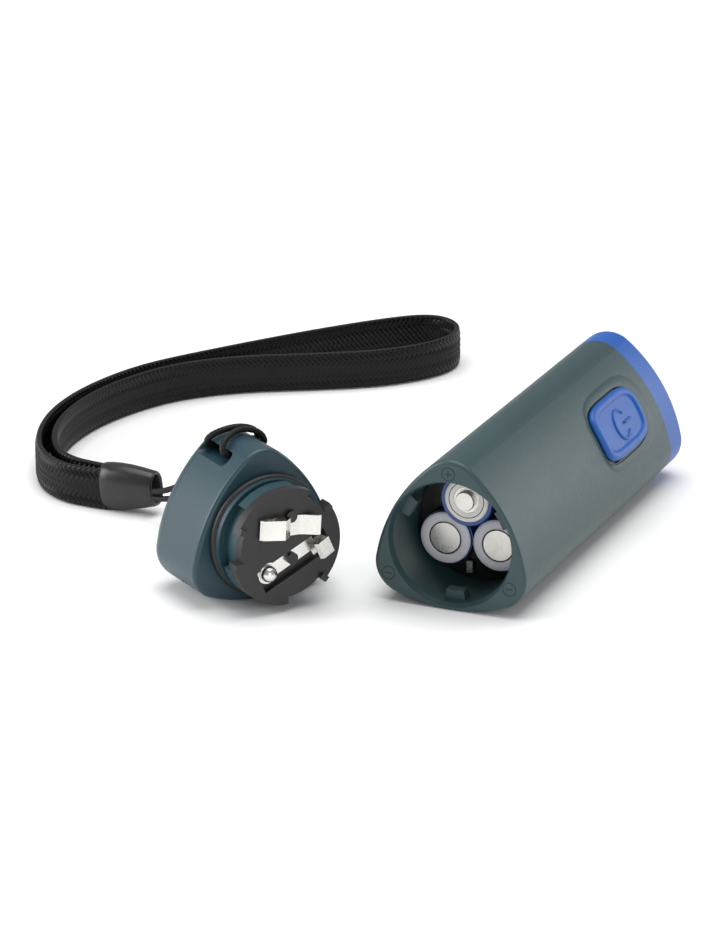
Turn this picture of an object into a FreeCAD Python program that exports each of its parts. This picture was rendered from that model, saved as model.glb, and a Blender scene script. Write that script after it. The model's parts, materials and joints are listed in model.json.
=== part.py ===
import FreeCAD, Part
import math
import os
import re
import Sketcher

# Keychain torch with three AAA cells, its bayonet tail cap and its wrist strap, in millimetres.
# The torch lies along +Y on one flat side of its rounded-triangle section, lens towards +Y.
# The cap lies unlocked beside the mouth, and the strap behind it, all on the plane Z = 0.
# The origin is on that plane, under the middle of the torch.

Vector = FreeCAD.Vector
doc = FreeCAD.newDocument("KeychainTorch")
sheet = doc.addObject("Spreadsheet::Sheet", "sizes")

SIZES = (
    # the section that the body, the bezel and the cap share
    ("side_reach", 13.0, "axis to the middle of each bulging side"),
    ("side_radius", 32.0, "radius of the bulging sides"),
    ("corner_radius", 6.0, "radius of the three long corners"),
    ("axis_height", 12.8, "axis above the table: the lowest 0.2 of the side is flat"),
    ("edge_round", 0.8, "rounding of the mouth's outer edge"),
    # the body, in stations from the mouth along +Y
    ("mouth_y", -45.5, "Y of the mouth"),
    ("body_length", 79.5, "mouth to the bezel joint, along the axis"),
    ("front_rake", 6.0, "how far the bezel joint and the front lean back, in degrees"),
    ("bore_radius", 11.9, "battery bore"),
    ("bore_depth", 58.0, "mouth to the ledge that stops the contact plate"),
    ("rim_radius", 12.4, "bore at the mouth, where it is chamfered"),
    ("rim_depth", 1.2, "depth of that chamfer"),
    ("head_bore", 11.2, "bore ahead of the ledge"),
    ("screw_circle", 9.6, "axis to the contact plate's screws"),
    ("screw_radius", 0.8, "contact plate's screws"),
    ("lug_radius", 10.05, "axis to the inner face of a bayonet lug"),
    ("lug_start", 2.9, "mouth to the lugs"),
    ("lug_length", 2.3, "lug, along the axis"),
    ("lug_angle", 20.0, "lug, round the bore, in degrees"),
    # the bezel and what is behind it
    ("bezel_length", 9.0, "bezel, square to its joint"),
    ("bezel_round", 3.2, "rounding of the bezel's front edge"),
    ("lens_radius", 10.6, "lens"),
    ("lens_thickness", 1.6, "lens"),
    ("lens_station", 84.6, "mouth to the back of the lens"),
    ("window_radius", 9.6, "opening in the bezel's front"),
    # the button on the right-hand upper side
    ("button_station", 59.3, "mouth to the button's middle"),
    ("button_along", 21.9, "button along the axis"),
    ("button_across", 11.7, "button across the side"),
    ("button_corner", 4.6, "rounding of the button's corners"),
    ("button_proud", 1.1, "button above the side"),
    ("button_gap", 0.2, "gap round the button"),
    ("well_depth", 0.65, "pocket that the button moves in"),
    ("stem_radius", 1.6, "button's stem"),
    ("stem_station", 62.8, "mouth to the button's stem"),
    # the cells: size AAA
    ("cell_radius", 5.25, "AAA cell"),
    ("cell_can", 5.0, "can inside its sleeve"),
    ("cell_length", 44.5, "AAA cell with its nub"),
    ("cell_circle", 6.2, "axis to the middle of a cell"),
    ("top_cell_start", 7.2, "mouth to the nub of the upper cell"),
    ("low_cell_start", 11.0, "mouth to the flat ends of the lower cells"),
    ("holder_start", 14.0, "mouth to the battery holder"),
    ("holder_end", 54.7, "mouth to the battery holder's end plate"),
    ("holder_radius", 11.7, "battery holder"),
    ("holder_clearance", 5.45, "channel of the holder round a cell"),
    # the cap, in depths behind the front of its contact plate
    ("cap_x", -27.3, "X of the middle of the contact plate"),
    ("cap_y", -58.25, "Y of the middle of the contact plate"),
    ("cap_turn", -125.5, "how far the unlocked cap is turned from facing the mouth"),
    ("plug_length", 8.5, "contact plate's front to the cap's shoulder"),
    ("cap_length", 18.0, "cap behind its shoulder"),
    ("cap_round", 4.4, "rounding of the cap's closed end"),
    ("plate_radius", 11.4, "contact plate"),
    ("plate_thickness", 2.0, "contact plate"),
    ("neck_radius", 9.8, "neck behind the contact plate"),
    ("stop_depth", 4.6, "back of the stops behind the plate"),
    ("collar_start", 5.8, "front of the collar"),
    ("collar_radius", 11.4, "collar"),
    ("groove_start", 6.9, "front of the sealing ring's groove"),
    ("groove_radius", 10.4, "floor of that groove"),
    ("ring_middle", 11.2, "sealing ring, axis to the middle of its section"),
    ("ring_section", 0.75, "radius of the sealing ring's section"),
    ("cap_hollow", 8.4, "hollow of the cap"),
    ("cap_floor", 20.0, "depth of the hollow"),
    ("slot_depth", 18.0, "middle of the lanyard slot"),
    ("slot_length", 10.6, "lanyard slot, along the cap"),
    ("slot_low", 12.9, "lanyard slot's lower face above the axis"),
    ("slot_high", 15.2, "lanyard slot's upper face above the axis"),
    # the lanyard
    ("cord_diameter", 1.2, "thin cord"),
    ("strap_width", 8.2, "webbing"),
    ("strap_thickness", 1.8, "webbing"),
)
for row, (alias, number, meaning) in enumerate(SIZES, start=1):
    sheet.set(f"A{row}", meaning)
    sheet.set(f"B{row}", str(number))
    sheet.setAlias(f"B{row}", alias)
doc.recompute()

PIECES = []
ALONG = FreeCAD.Rotation(Vector(1, 0, 0), 90)  # a primitive's height then runs along -Y
FORWARD = FreeCAD.Rotation(Vector(1, 0, 0), -90)  # a body's height then runs along +Y
SIDE_TURN = 30.0  # the right-hand upper side faces this far above +X
CELL_ANGLES = (90.0, 210.0, 330.0)
LUG_ANGLES = (30.0, 150.0, 270.0)
SCREW_ANGLES = (150.0, 246.0)


# ---------------------------------------------------------------- helpers
def size(total):
    """What a sum of aliases and plain numbers comes to."""
    result, sign = 0.0, 1
    for word in total.split():
        if word in "+-":
            sign = 1 if word == "+" else -1
        else:
            result += sign * (sheet.get(word) if "_" in word else float(word))
            sign = 1
    return result


def formula(text):
    """The same text as an expression that reads the sheet: every alias has an underscore."""
    return re.sub(r"[a-z]+_\w+", lambda alias: "sizes." + alias.group(), text)


def bind(thing, sizes):
    for name, text in sizes.items():
        thing.setExpression(name, formula(text))
    return thing


def put(thing, x="0", y="0", z="0", turn=FreeCAD.Rotation()):
    thing.Placement = FreeCAD.Placement(Vector(), turn)
    return bind(thing, {"Placement.Base.x": x, "Placement.Base.y": y, "Placement.Base.z": z})


def piece(node, thing):
    """Names a finished sub-part."""
    thing.Label = node
    PIECES.append(thing)
    return thing


def rod(name, radius, start, length, x="0", z="axis_height", middle=0.0, width="360"):
    """A cylinder along Y from start, or a wedge of it round the angle middle, seen along +Y."""
    thing = doc.addObject("Part::Cylinder", name)
    bind(thing, {"Radius": radius, "Height": length, "Angle": width})
    first = FreeCAD.Rotation(Vector(0, 0, 1), middle - size(width) / 2)
    return put(thing, x, f"{start} + {length}", z, ALONG * first)


def taper(name, start_radius, end_radius, start, length, x="0", z="axis_height"):
    thing = doc.addObject("Part::Cone", name)
    bind(thing, {"Radius1": end_radius, "Radius2": start_radius, "Height": length})
    return put(thing, x, f"{start} + {length}", z, ALONG)


def block(name, across, along, height, x, y, z):
    """A box from its lowest corner."""
    thing = doc.addObject("Part::Box", name)
    bind(thing, {"Length": across, "Width": along, "Height": height})
    return put(thing, x, y, z)


def joined(name, things):
    thing = doc.addObject("Part::MultiFuse", name)
    thing.Shapes = things
    return thing


def shared(name, things):
    thing = doc.addObject("Part::MultiCommon", name)
    thing.Shapes = things
    return thing


def cut(name, base, tools):
    thing = doc.addObject("Part::Cut", name)
    thing.Base = base
    thing.Tool = tools[0] if len(tools) == 1 else joined(name + "_tools", tools)
    return thing


def rounded(name, base, radius, chosen):
    """Rounds the edges of base for which chosen(edge) is true."""
    doc.recompute()
    thing = doc.addObject("Part::Fillet", name)
    thing.Base = base
    edges = enumerate(base.Shape.Edges, start=1)
    thing.Edges = [(n, size(radius), size(radius)) for n, edge in edges if chosen(edge)]
    return thing


def runs_along_y(edge):
    box = edge.BoundBox
    return box.YLength > 1 and box.XLength < 0.01 and box.ZLength < 0.01


def lies_at_y(y):
    return lambda edge: abs(edge.BoundBox.YMin - y) < 0.01 and abs(edge.BoundBox.YMax - y) < 0.01


def triangle_bar(name, start, length, z="axis_height"):
    """A bar along Y with three bulging sides, one below, and three round corners."""
    away = "(side_radius - side_reach)"
    sides = []
    for number, facing in enumerate((30.0, 150.0, 270.0)):
        side = rod(
            f"{name}_side_{number}", "side_radius", start, length,
            x=f"-{away} * cos({facing} deg)", z=f"{z} - {away} * sin({facing} deg)",
        )
        sides.append(side)
    return rounded(name, shared(name + "_core", sides), "corner_radius", runs_along_y)


def table_cut(name, start, length, z="0"):
    """What lies below the flat that the section stands on."""
    return block(name, "40", length, "5", "-20", start, f"{z} - 5")


def raked_block(name, station, depth):
    """What lies within depth ahead of a station, between two planes that lean back."""
    slab = doc.addObject("Part::Box", name)
    bind(slab, {"Length": "60", "Width": depth, "Height": "60"})
    middle = Vector(0, size("mouth_y") + size(station), size("axis_height"))
    turn = FreeCAD.Rotation(Vector(1, 0, 0), size("front_rake"))
    slab.Placement = FreeCAD.Placement(middle, turn).multiply(
        FreeCAD.Placement(Vector(-30, 0, -30), FreeCAD.Rotation()))
    return slab


def lies_on_front(edge):
    """True for the edges in the plane of the bezel's leaning front."""
    lean = math.radians(size("front_rake"))
    normal = Vector(0, math.cos(lean), math.sin(lean))
    seam = Vector(0, size("mouth_y + body_length"), size("axis_height"))
    away = [(vertex.Point - seam).dot(normal) - size("bezel_length") for vertex in edge.Vertexes]
    return max(abs(distance) for distance in away) < 0.01


def lathe(name, points, x="0", y="0", z="axis_height", turn=FORWARD):
    """A body turned round its own height, from (radius, station) corners given as sums."""
    body = doc.addObject("PartDesign::Body", name)
    plane = [p for p in body.Origin.OriginFeatures if p.Role == "XZ_Plane"][0]
    sketch = body.newObject("Sketcher::SketchObject", name + "_profile")
    sketch.AttachmentSupport = (plane, "")
    sketch.MapMode = "FlatFace"
    at = [Vector(size(radius), size(station), 0) for radius, station in points]
    count = len(points)
    for n in range(count):
        sketch.addGeometry(Part.LineSegment(at[n], at[(n + 1) % count]), False)
    for n in range(count):
        sketch.addConstraint(Sketcher.Constraint("Coincident", n, 2, (n + 1) % count, 1))
    for n, (radius, station) in enumerate(points):
        if at[n].x == 0:
            sketch.addConstraint(Sketcher.Constraint("PointOnObject", n, 1, -2))
        else:
            mark = sketch.addConstraint(Sketcher.Constraint("DistanceX", -1, 1, n, 1, at[n].x))
            sketch.setExpression(f"Constraints[{mark}]", formula(radius))
        if at[n].y == 0:
            sketch.addConstraint(Sketcher.Constraint("PointOnObject", n, 1, -1))
        else:
            mark = sketch.addConstraint(Sketcher.Constraint("DistanceY", -1, 1, n, 1, at[n].y))
            sketch.setExpression(f"Constraints[{mark}]", formula(station))
    turned = body.newObject("PartDesign::Revolution", name + "_turned")
    turned.Profile = sketch
    turned.ReferenceAxis = (sketch, ["V_Axis"])
    turned.Angle = 360
    body.Tip = turned
    return put(body, x, y, z, turn)


def ring_points(inner, outer, low, high):
    return [(inner, low), (outer, low), (outer, high), (inner, high)]


def disc_points(radius, low, high):
    return ring_points("0", radius, low, high)


def placed(node, shape, placement=FreeCAD.Placement()):
    """A sub-part whose shape is worked out here from the sheet's numbers."""
    thing = doc.addObject("Part::Feature", node + "_shape")
    thing.Shape = shape
    thing.Placement = placement
    return piece(node, thing)


def leaf(along, thickness, width):
    """A bent strip: its line of (x, y) points lies in the plane z = 0, and its width along z."""
    line = Part.makePolygon([Vector(x, y, 0) for x, y in along])
    face = line.makeOffset2D(thickness / 2, join=2, fill=True, openResult=False)
    solid = face.extrude(Vector(0, 0, width))
    solid.translate(Vector(0, 0, -width / 2))
    return solid.Solids[0]


def tangent_path(points, share=0.45):
    """Straight runs joined by arcs that are as large as the shorter of their two runs allows."""
    edges, at, radii = [], points[0], []
    for before, corner, after in zip(points, points[1:], points[2:]):
        back, on = before - corner, after - corner
        turn = math.pi - back.getAngle(on)
        reach = share * min(back.Length, on.Length)
        radii.append(reach / math.tan(turn / 2))
        back.normalize()
        on.normalize()
        start, end = corner + back * reach, corner + on * reach
        inward = (back + on).normalize()
        middle = corner + inward * (radii[-1] / math.cos(turn / 2) - radii[-1])
        edges.append(Part.LineSegment(at, start).toShape())
        edges.append(Part.Arc(start, middle, end).toShape())
        at = end
    edges.append(Part.LineSegment(at, points[-1]).toShape())
    return Part.Wire(edges), radii


# ---------------------------------------------------------------- the torch
def make_body_shell():
    bar = triangle_bar("body_bar", "mouth_y", "body_length + 3")
    soft = rounded("body_soft", bar, "edge_round", lies_at_y(size("mouth_y")))
    tools = [
        rod("battery_bore", "bore_radius", "mouth_y - 1", "bore_depth + 1"),
        taper("mouth_chamfer", "rim_radius", "bore_radius", "mouth_y", "rim_depth"),
        rod("head_cavity", "head_bore", "mouth_y", "body_length + 4"),
        table_cut("body_table", "mouth_y - 1", "body_length + 5"),
        raked_block("body_end", "body_length", "10"),
        button_well(),
        stem_hole(),
    ]
    lugs = []
    for number, angle in enumerate(LUG_ANGLES):
        start, name = "mouth_y + lug_start", f"body_lug_{number}"
        wedge = rod(name + "_wedge", "bore_radius + 0.3", start, "lug_length",
                    middle=angle, width="lug_angle")
        core = rod(name + "_core", "lug_radius", start + " - 1", "lug_length + 2")
        lugs.append(cut(name, wedge, [core]))
    hollow = cut("body_hollow", soft, tools)
    bosses = [
        cut(f"screw_boss_{n}", around(f"screw_boss_{n}_solid", "1.9", "bore_depth", "5", angle),
            [around(f"screw_boss_{n}_hole", "screw_radius", "bore_depth - 1", "7", angle)])
        for n, angle in enumerate(SCREW_ANGLES)
    ]
    piece("body_shell", joined("body_with_lugs", [hollow] + lugs + bosses))


def around(name, radius, station, length, angle):
    """A rod on the circle of the contact plate's screws."""
    return rod(name, radius, f"mouth_y + {station}", length,
               x=f"screw_circle * cos({angle} deg)",
               z=f"axis_height + screw_circle * sin({angle} deg)")


def side_frame(station, distance=0.0):
    """A frame on the right-hand upper side: x outwards, y along the torch, z up the side."""
    turn = FreeCAD.Rotation(Vector(0, 1, 0), -SIDE_TURN)
    middle = Vector(0, size("mouth_y") + size(station), size("axis_height"))
    return FreeCAD.Placement(middle + turn.multVec(Vector(distance, 0, 0)), turn)


def side_pad(name, grow, inner, outer):
    """A rounded oblong on the button's side, between two depths measured from its surface."""
    oblong = doc.addObject("Part::Box", name + "_oblong")
    bind(oblong, {
        "Length": "12",
        "Width": f"button_along + {grow} + {grow}",
        "Height": f"button_across + {grow} + {grow}",
    })
    across, along = size("button_across") / 2 + grow, size("button_along") / 2 + grow
    oblong.Placement = side_frame("button_station").multiply(
        FreeCAD.Placement(Vector(6, -along, -across), FreeCAD.Rotation()))
    outward = side_frame("button_station").Rotation.multVec(Vector(1, 0, 0))
    soft = rounded(name + "_soft", oblong, "button_corner",
                   lambda edge: abs(edge.tangentAt(edge.FirstParameter).dot(outward)) > 0.99)
    away = "(side_radius - side_reach)"
    where = {"x": f"-{away} * cos(30 deg)", "z": f"axis_height - {away} * sin(30 deg)"}
    start = "mouth_y + button_station - button_along"
    shell = rod(name + "_outer", f"side_radius + {outer}", start, "2 * button_along", **where)
    core = rod(name + "_inner", f"side_radius + {inner}", start + " - 1",
               "2 * button_along + 2", **where)
    return shared(name, [soft, cut(name + "_skin", shell, [core])])


def button_well():
    return side_pad("button_well", size("button_gap"), "(-well_depth)", "2")


def stem(name, radius, distance, length):
    """A round stem under the button, along the side's own direction."""
    thing = doc.addObject("Part::Cylinder", name)
    bind(thing, {"Radius": radius, "Height": length})
    outward = FreeCAD.Rotation(Vector(0, 0, 1), Vector(1, 0, 0))
    thing.Placement = side_frame("stem_station").multiply(
        FreeCAD.Placement(Vector(distance, 0, 0), outward))
    return thing


def stem_hole():
    return stem("stem_hole", "stem_radius + 0.2", 9.0, "5")


def make_button():
    pad = side_pad("button_cap", 0, "(-0.05)", "button_proud")
    shaft = stem("button_stem", "stem_radius", 9.3, "3.9")
    piece("power_button", joined("button_whole", [pad, shaft]))


def make_switch():
    """A dome switch on its own small board, square to the button's stem."""
    frame = side_frame("stem_station")
    board = doc.addObject("Part::Box", "switch_board_plate")
    bind(board, {"Length": "0.8", "Width": "9", "Height": "8"})
    board.Placement = frame.multiply(FreeCAD.Placement(Vector(6.6, -4.5, -4.0), FreeCAD.Rotation()))
    piece("switch_board", board)
    case = doc.addObject("Part::Box", "switch_case")
    bind(case, {"Length": "0.9", "Width": "4.5", "Height": "4.5"})
    case.Placement = frame.multiply(FreeCAD.Placement(Vector(7.4, -2.25, -2.25), FreeCAD.Rotation()))
    dome = stem("switch_dome", "1.5", 8.2, "0.4")
    piece("tactile_switch", joined("switch_whole", [case, dome]))


def make_battery_holder():
    """A moulded cradle: ribs that fill the bore between three channels, on a plate with holes."""
    start, length = "mouth_y + holder_start", "holder_end - holder_start"
    core = rod("holder_core", "holder_radius", start, length)
    channels = []
    for number, angle in enumerate(CELL_ANGLES):
        x, z = f"cell_circle * cos({angle} deg)", f"axis_height + cell_circle * sin({angle} deg)"
        channels.append(rod(f"holder_channel_{number}", "holder_clearance",
                            start + " - 1", length + " + 1", x=x, z=z))
        wide = rod(f"holder_mouth_{number}", "holder_radius + 1", start + " - 1", length + " + 1",
                   middle=angle, width="42")
        inner = rod(f"holder_mouth_{number}_core", "cell_circle", start + " - 2", length + " + 3")
        channels.append(cut(f"holder_gap_{number}", wide, [inner]))
    ribs = cut("holder_ribs", core, channels)
    plate = rod("holder_plate", "holder_radius", "mouth_y + holder_end",
                "bore_depth - 2 - holder_end")
    holes = [
        rod(f"holder_hole_{n}", "3.6", "mouth_y + holder_end - 1", "5",
            x=f"cell_circle * cos({angle} deg)", z=f"axis_height + cell_circle * sin({angle} deg)")
        for n, angle in enumerate(CELL_ANGLES)
    ]
    heads = [around(f"holder_head_{n}", "1.7", "holder_end - 1", "5", angle)
             for n, angle in enumerate(SCREW_ANGLES)]
    plate = cut("holder_plate_whole", plate, holes + heads)
    strip_slot = block("holder_slot", "1.6", "bore_depth", "2.9",
                       "-2", "mouth_y", "axis_height - 10.5")
    piece("battery_holder", cut("holder_whole", joined("holder_solid", [ribs, plate]),
                                [strip_slot]))
    strip = block("return_strip_bar", "1.2", "bore_depth - 2 - holder_start + 1", "2.3",
                  "-1.8", "mouth_y + holder_start - 1", "axis_height - 10.2")
    piece("return_strip", strip)


def make_cells():
    """Three cells: the upper one shows its nub at the mouth, the lower two their flat ends."""
    for number, angle in enumerate(CELL_ANGLES, start=1):
        nub_out = number == 1
        x = f"cell_circle * cos({angle} deg)"
        z = f"axis_height + cell_circle * sin({angle} deg)"
        turn = FORWARD if nub_out else ALONG
        y = "mouth_y + top_cell_start" if nub_out else "mouth_y + low_cell_start + cell_length"
        can = lathe(f"can_{number}", [
            ("0", "0"), ("1.75", "0"), ("1.9", "0.2"), ("1.9", "1.0"), ("3.6", "1.0"),
            ("3.6", "1.3"), ("cell_can", "1.3"), ("cell_can", "cell_length - 0.3"),
            ("cell_can - 0.4", "cell_length - 0.2"), ("3.3", "cell_length - 0.2"),
            ("3.1", "cell_length"), ("0", "cell_length"),
        ], x, y, z, turn)
        piece(f"cell_{number}_can", can)
        sleeve = lathe(f"sleeve_{number}", [
            ("cell_can", "1.3"), ("3.9", "1.3"), ("3.9", "1.1"), ("cell_radius - 0.2", "1.1"),
            ("cell_radius", "1.3"), ("cell_radius", "cell_length - 0.3"),
            ("cell_radius - 0.2", "cell_length - 0.1"), ("3.9", "cell_length - 0.1"),
            ("3.9", "cell_length - 0.2"), ("cell_can - 0.4", "cell_length - 0.2"),
            ("cell_can", "cell_length - 0.3"),
        ], x, y, z, turn)
        piece(f"cell_{number}_sleeve", sleeve)


def make_front_contacts():
    """The plate that the cells bear on, with a spring behind the upper cell and two leaves."""
    plate = rod("contact_plate_core", "bore_radius - 0.2", "mouth_y + bore_depth - 2", "2")
    holes = [around(f"plate_screw_hole_{n}", "screw_radius + 0.1", "bore_depth - 3", "4", angle)
             for n, angle in enumerate(SCREW_ANGLES)]
    piece("front_contact_plate", cut("contact_plate_whole", plate, holes))
    screws = [
        joined(f"plate_screw_{n}", [
            around(f"plate_screw_shank_{n}", "screw_radius", "bore_depth - 2.5", "6", angle),
            around(f"plate_screw_head_{n}", "1.5", "bore_depth - 2.9", "0.9", angle),
        ])
        for n, angle in enumerate(SCREW_ANGLES)
    ]
    group = doc.addObject("Part::Compound", "plate_screw_group")
    group.Links = screws
    piece("plate_screws", group)
    low_end = "(low_cell_start + cell_length)"
    leaves = [
        rod(f"front_leaf_{n}", "3.0", f"mouth_y + {low_end}", f"bore_depth - 2 - {low_end}",
            x=f"cell_circle * cos({angle} deg)", z=f"axis_height + cell_circle * sin({angle} deg)")
        for n, angle in enumerate(CELL_ANGLES[1:])
    ]
    pair = doc.addObject("Part::Compound", "front_leaf_pair")
    pair.Links = leaves
    piece("front_leaf_contacts", pair)
    gap = size("bore_depth - 2") - size("top_cell_start + cell_length")
    wire, turns = 0.5, 3.0
    pitch = (gap - wire) / turns
    helix = Part.makeHelix(pitch, pitch * turns, 3.0)
    section = Part.Wire(Part.makeCircle(wire / 2, Vector(3.0, 0, 0), Vector(0, 1, 0)))
    coil = Part.Wire(helix.Edges).makePipeShell([section], True, True)
    where = Vector(0, size("mouth_y + top_cell_start + cell_length") + wire / 2,
                   size("axis_height") + size("cell_circle"))
    placed("front_spring", coil.Solids[0], FreeCAD.Placement(where, FORWARD))


def make_head():
    """From the driver board forward to the bezel."""
    seat = "mouth_y + bore_depth"
    piece("driver_board", lathe("driver_disc", disc_points("10.4", "0", "1"), y=seat + " + 11"))
    chips = doc.addObject("Part::Compound", "driver_chips")
    chips.Links = [
        block("driver_coil", "4", "2.4", "4", "-5.5", seat + " + 8.6", "axis_height - 6.4"),
        block("driver_chip", "4.9", "1.5", "3.9", "-6.4", seat + " + 9.5", "axis_height + 1.4"),
    ]
    piece("driver_components", chips)
    piece("heat_sink", lathe("heat_sink_cup", [
        ("0", "0"), ("10.9", "0"), ("10.9", "7"), ("9.2", "7"), ("9.2", "3"), ("0", "3"),
    ], y=seat + " + 13"))
    piece("led_board", lathe("led_disc", disc_points("7.8", "0", "1.6"), y=seat + " + 16"))
    piece("led_emitter", lathe("led_package", [
        ("0", "0"), ("1.9", "0"), ("1.9", "0.8"), ("1.4", "0.8"), ("1.25", "1.5"),
        ("0.7", "2.1"), ("0", "2.3"),
    ], y=seat + " + 17.6"))
    cup = [("2.6", "0"), ("4.2", "1.0"), ("6.1", "2.9"), ("7.9", "5.8"), ("8.9", "8.8")]
    inner = [(radius, station) for radius, station in cup]
    outer = [(f"{radius} + 0.8", station) for radius, station in reversed(cup)]
    outer[0] = ("lens_radius - 0.1", "8.8")
    outer.insert(1, ("lens_radius - 0.1", "7.8"))
    outer.insert(2, ("9.3", "7.8"))
    piece("reflector", lathe("reflector_cup", inner + outer,
                             y="mouth_y + lens_station - 8.8"))
    piece("lens", lathe("lens_disc", [
        ("0", "0"), ("lens_radius", "0"), ("lens_radius", "lens_thickness - 0.4"),
        ("lens_radius - 0.4", "lens_thickness"), ("0", "lens_thickness"),
    ], y="mouth_y + lens_station"))
    piece("lens_gasket", lathe("lens_gasket_ring", ring_points(
        "window_radius + 0.2", "lens_radius", "0", "0.5"),
        y="mouth_y + lens_station + lens_thickness"))


def make_bezel():
    start = "mouth_y + body_length - 3"
    bar = triangle_bar("bezel_bar", start, "bezel_length + 6")
    band = shared("bezel_band", [bar, raked_block("bezel_slab", "body_length", "bezel_length")])
    soft = rounded("bezel_soft", band, "bezel_round", lies_on_front)
    glass = "lens_station - body_length + lens_thickness + 0.5"
    tools = [
        rod("bezel_bore", "lens_radius + 0.1", start, f"{glass} + 3"),
        rod("bezel_window", "window_radius", start, "bezel_length + 8"),
        table_cut("bezel_table", start + " - 1", "bezel_length + 8"),
    ]
    piece("front_bezel", cut("bezel_whole", soft, tools))


# ---------------------------------------------------------------- the tail cap
# It is built facing +Y with the front of its contact plate at Y = 0 and its axis at Z = 0,
# and then laid beside the mouth. Angles round it are seen along +Y.
GAPS = ((8.0, "30"), (128.0, "24"), (248.0, "42"))  # the middle and the width of each
TOOTH_ANGLES = (350.0, 26.0, 143.0, 224.0)
STOP_ANGLES = (75.0, 195.0, 315.0)


def lay_cap(thing):
    thing.Placement = FreeCAD.Placement(
        Vector(), FreeCAD.Rotation(Vector(0, 0, 1), size("cap_turn")))
    return bind(thing, {
        "Placement.Base.x": "cap_x", "Placement.Base.y": "cap_y",
        "Placement.Base.z": "axis_height",
    })


def cap_placement():
    return FreeCAD.Placement(
        Vector(size("cap_x"), size("cap_y"), size("axis_height")),
        FreeCAD.Rotation(Vector(0, 0, 1), size("cap_turn")))


def make_tail_cap():
    back = "(-plug_length) - cap_length"
    bar = triangle_bar("cap_bar", back, "cap_length", z="0")
    behind, shoulder = -size("plug_length + cap_length"), -size("plug_length")
    soft = rounded("cap_soft", bar, "cap_round", lies_at_y(behind))
    edged = rounded("cap_edged", soft, "edge_round", lies_at_y(shoulder))
    stops = [
        rod(f"cap_stop_{n}", "plate_radius", "(-stop_depth)", "stop_depth - plate_thickness",
            z="0", middle=angle, width="56")
        for n, angle in enumerate(STOP_ANGLES)
    ]
    neck = joined("cap_neck", [
        rod("cap_neck_core", "neck_radius", "(-plug_length) - 1",
            "plug_length + 1 - plate_thickness", z="0"),
        rod("cap_collar", "collar_radius", "(-groove_start)", "groove_start - collar_start", z="0"),
        rod("cap_groove", "groove_radius", "(-plug_length) - 1", "plug_length + 1 - groove_start",
            z="0"),
    ] + stops)
    length = size("slot_length")
    half = size("slot_high") / 2 - size("slot_low") / 2
    slot = doc.addObject("Part::Box", "slot_bar")
    bind(slot, {"Length": "40", "Width": "slot_length", "Height": "slot_high - slot_low"})
    slot.Placement = FreeCAD.Placement(
        Vector(-20, -size("slot_depth") - length / 2, size("slot_low")), FreeCAD.Rotation())
    round_slot = rounded("slot_round", slot, str(half - 0.05),
                         lambda edge: edge.BoundBox.XLength > 30)
    hollow = rod("cap_hollow_core", "cap_hollow", "(-cap_floor)", "cap_floor", z="0")
    table = table_cut("cap_table", "(-plug_length) - cap_length - 1", "cap_length + 2",
                      z="(-axis_height)")
    whole = cut("cap_whole", joined("cap_filled", [edged, neck]), [hollow, round_slot, table])
    piece("tail_cap", lay_cap(whole))
    ring = doc.addObject("Part::Torus", "sealing_ring")
    bind(ring, {"Radius1": "ring_middle", "Radius2": "ring_section"})
    ring.Placement = cap_placement().multiply(FreeCAD.Placement(
        Vector(0, -size("groove_start + ring_section + 0.05"), 0), ALONG))
    piece("o_ring", ring)


# Places on the contact plate are (right, up) as it is seen from the front, so X is -right.
STRIP_THICKNESS = 0.3
BRIDGE_MIDDLE, BRIDGE_TILT, BRIDGE_WIDTH = (0.6, 6.1), -3.5, 3.8
TERMINAL_MIDDLE, TERMINAL_TILT, TERMINAL_WIDTH = (1.1, -2.5), 24.0, 2.7
TAB_WIDTH, TAB_SHIFT = 3.4, 1.1
DOME_AT, DOME_RADIUS = -5.4, 1.6


def on_plate(middle, tilt):
    """A frame on the plate: x along a strip to the right, y out of the plate, z across it."""
    right, up = middle
    angle = math.radians(tilt)
    along = Vector(-math.cos(angle), 0, math.sin(angle))
    out = Vector(0, 1, 0)
    turn = FreeCAD.Rotation(along, out, along.cross(out), "XYZ")
    return cap_placement().multiply(FreeCAD.Placement(Vector(-right, 0, up), turn))


def make_contact_plate():
    core = rod("plate_core", "plate_radius", "(-plate_thickness)", "plate_thickness", z="0")
    gaps = []
    for number, (angle, width) in enumerate(GAPS):
        start, length = "(-plate_thickness) - 1", "plate_thickness + 2"
        wedge = rod(f"plate_gap_{number}_wedge", "plate_radius + 1", start, length, z="0",
                    middle=angle, width=width)
        rest = rod(f"plate_gap_{number}_core", "neck_radius + 0.1", start + " - 1",
                   length + " + 2", z="0")
        gaps.append(cut(f"plate_gap_{number}", wedge, [rest]))
    trough = doc.addObject("Part::Box", "plate_trough")
    bind(trough, {"Length": "15.6", "Width": "2", "Height": "4.6"})
    trough.Placement = cap_placement().inverse().multiply(
        on_plate(TERMINAL_MIDDLE, TERMINAL_TILT).multiply(
            FreeCAD.Placement(Vector(-7.6, -1.1, -1.7), FreeCAD.Rotation())))
    pocket = doc.addObject("Part::Cylinder", "plate_dome_pocket")
    bind(pocket, {"Radius": "2.3", "Height": "2"})
    pocket.Placement = cap_placement().inverse().multiply(
        on_plate(TERMINAL_MIDDLE, TERMINAL_TILT).multiply(
            FreeCAD.Placement(Vector(DOME_AT, -1.1, 0), FORWARD)))
    teeth = []
    for number, angle in enumerate(TOOTH_ANGLES):
        rim = rod(f"plate_tooth_{number}_wedge", "plate_radius", "-0.5", "1.2", z="0",
                  middle=angle, width="6")
        rest = rod(f"plate_tooth_{number}_core", "neck_radius", "-1", "3", z="0")
        teeth.append(cut(f"plate_tooth_{number}", rim, [rest]))
    disc = cut("plate_disc", core, gaps + [trough, pocket])
    piece("contact_plate", lay_cap(joined("plate_whole", [disc] + teeth)))


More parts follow.
